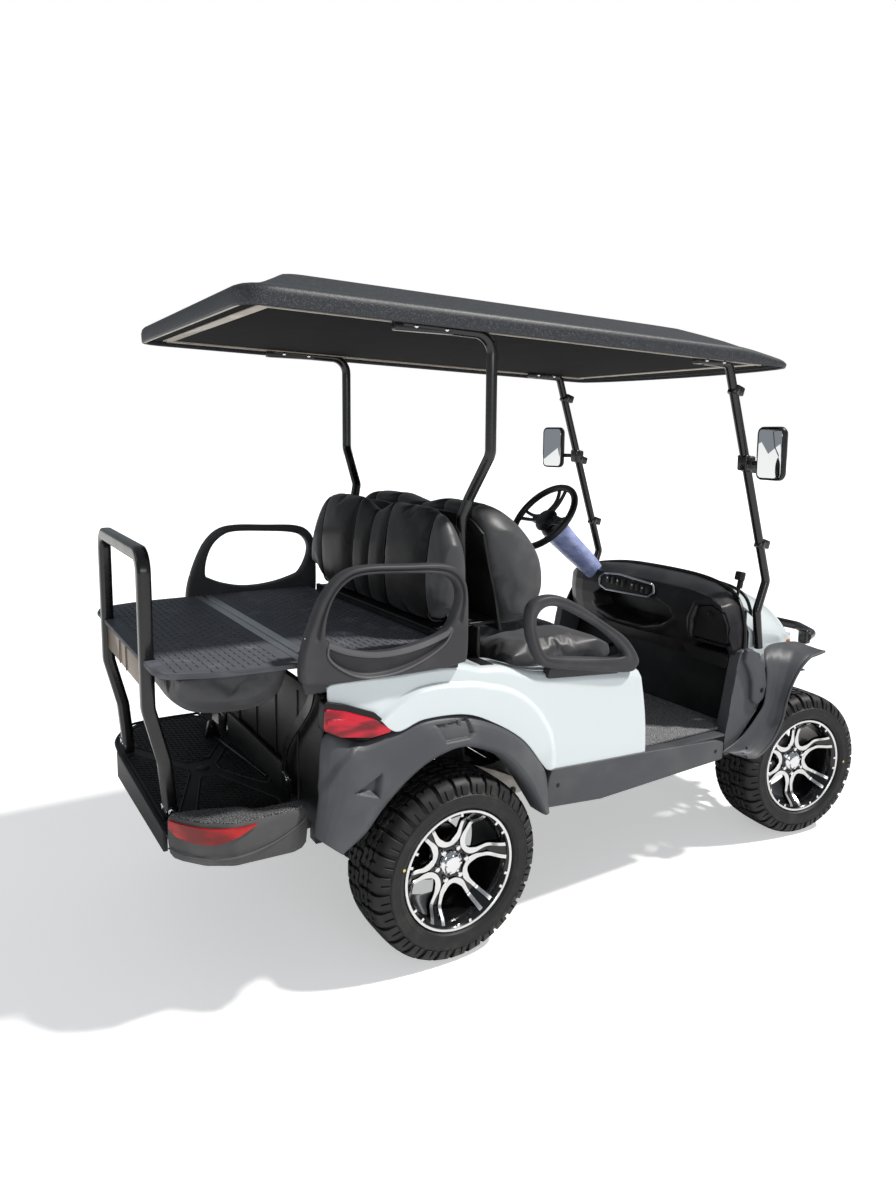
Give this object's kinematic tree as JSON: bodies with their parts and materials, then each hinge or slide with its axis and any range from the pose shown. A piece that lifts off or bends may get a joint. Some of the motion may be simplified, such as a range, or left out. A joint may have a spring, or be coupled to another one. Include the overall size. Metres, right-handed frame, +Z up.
{
  "type": "golf cart",
  "caption": "Lifted electric golf cart with a canopy roof, front bench, rear-facing seat that folds to a cargo deck, footplate, grab bar and alloy wheels.",
  "frame": {"origin": "centre of the outline on the floor under the tyres", "axes": "+X forward, +Y to the driver's left, +Z up"},
  "size_m": [2.848, 1.4388, 2.0491],
  "materials": {
    "roof_plastic": "textured",
    "dark_plastic": "grained",
    "black_plastic": "satin",
    "shroud": "film wrap",
    "body_white": "gloss",
    "red_lens": "gloss",
    "clear_lens": "gloss",
    "vinyl": "grained",
    "deck_coat": "textured",
    "aluminium": "mill",
    "rail_paint": "satin",
    "carpet": "speckled",
    "battery_case": "satin",
    "motor_case": "painted",
    "axle_iron": "painted",
    "black_metal": "satin",
    "tyre": "matte",
    "rim": "gloss with machined faces"
  },
  "bodies": {
    "chassis": {"battery_pack": "battery_case", "brush_guard": "black_metal", "dashboard": "black_plastic", "deck_fixed": "deck_coat", "deck_hinge_rail": "aluminium", "drive_motor": "motor_case", "floor_mat": "carpet", "floor_pan": "black_plastic", "footplate": "deck_coat", "frame_rails": "aluminium", "front_armrests": "dark_plastic", "front_cowl": "body_white", "front_fenders": "dark_plastic", "front_lights": "clear_lens", "front_seat_back": "vinyl", "front_seat_cushion": "vinyl", "front_suspension": "black_metal", "grab_bar": "black_metal", "mirrors": "black_plastic", "pedals": "black_plastic", "rear_armrests": "dark_plastic", "rear_axle": "axle_iron", "rear_body": "body_white", "rear_fenders": "dark_plastic", "rear_seat_back": "vinyl", "rear_springs": "black_metal", "rear_step": "dark_plastic", "rocker_panels": "dark_plastic", "roof": "roof_plastic", "roof_rails": "rail_paint", "roof_struts": "black_metal", "seat_back_frame": "black_plastic", "steering_column": "shroud", "tail_lights": "red_lens", "windshield_posts": "black_metal"},
    "wheel_rear_left": {"wheel_rim_rear_left": "rim", "tyre_rear_left": "tyre"},
    "wheel_rear_right": {"wheel_rim_rear_right": "rim", "tyre_rear_right": "tyre"},
    "knuckle_left": {"knuckle_left": "axle_iron"},
    "knuckle_right": {"knuckle_right": "axle_iron"},
    "wheel_front_left": {"wheel_rim_front_left": "rim", "tyre_front_left": "tyre"},
    "wheel_front_right": {"wheel_rim_front_right": "rim", "tyre_front_right": "tyre"},
    "steering_rack": {"steering_rack": "black_metal"},
    "steering_wheel": {"steering_wheel": "black_plastic"},
    "deck_flip": {"deck_flip_panel": "deck_coat", "rear_seat_cushion": "vinyl"},
    "glovebox_door": {"glovebox_door": "black_plastic"}
  },
  "joints": [
    {"name": "wheel_spin_rear_left", "type": "hinge", "parent": "chassis", "child": "wheel_rear_left", "pos_m": [-0.58, 0.518, 0.292], "axis": [0, 1, 0], "continuous": true},
    {"name": "wheel_spin_rear_right", "type": "hinge", "parent": "chassis", "child": "wheel_rear_right", "pos_m": [-0.58, -0.518, 0.292], "axis": [0, 1, 0], "continuous": true},
    {"name": "steer_left", "type": "hinge", "parent": "chassis", "child": "knuckle_left", "pos_m": [1.084, 0.415, 0.292], "axis": [0, 0, 1], "range_deg": [-22, 38]},
    {"name": "steer_right", "type": "hinge", "parent": "chassis", "child": "knuckle_right", "pos_m": [1.084, -0.415, 0.292], "axis": [0, 0, 1], "range_deg": [-22, 38]},
    {"name": "rack_slide", "type": "slide", "parent": "chassis", "child": "steering_rack", "axis": [0, 1, 0], "range_m": [-0.068, 0.04]},
    {"name": "steering_wheel_turn", "type": "hinge", "parent": "chassis", "child": "steering_wheel", "pos_m": [0.402, 0.3, 1.256], "axis": [-0.7547, 0, 0.6561], "range_deg": [-198.5, 342.5]},
    {"name": "wheel_spin_front_left", "type": "hinge", "parent": "knuckle_left", "child": "wheel_front_left", "pos_m": [1.09833, 0.517, 0.292], "axis": [0.1392, 0.9903, 0], "continuous": true},
    {"name": "wheel_spin_front_right", "type": "hinge", "parent": "knuckle_right", "child": "wheel_front_right", "pos_m": [1.06967, -0.517, 0.292], "axis": [0.1392, 0.9903, 0], "continuous": true},
    {"name": "deck_flip", "type": "hinge", "parent": "chassis", "child": "deck_flip", "pos_m": [-1.026, 0, 0.993], "axis": [0, 1, 0], "range_deg": [0, 180]},
    {"name": "glovebox_hinge", "type": "hinge", "parent": "chassis", "child": "glovebox_door", "pos_m": [0.68, -0.4475, 0.792], "axis": [0, -1, 0], "range_deg": [0, 80]}
  ],
  "couplings": [
    {"joint": "steer_right", "follows": "steer_left", "ratio": 1},
    {"joint": "rack_slide", "follows": "steer_left", "m_per_rad": -0.1},
    {"joint": "steering_wheel_turn", "follows": "steer_left", "ratio": 9}
  ]
}
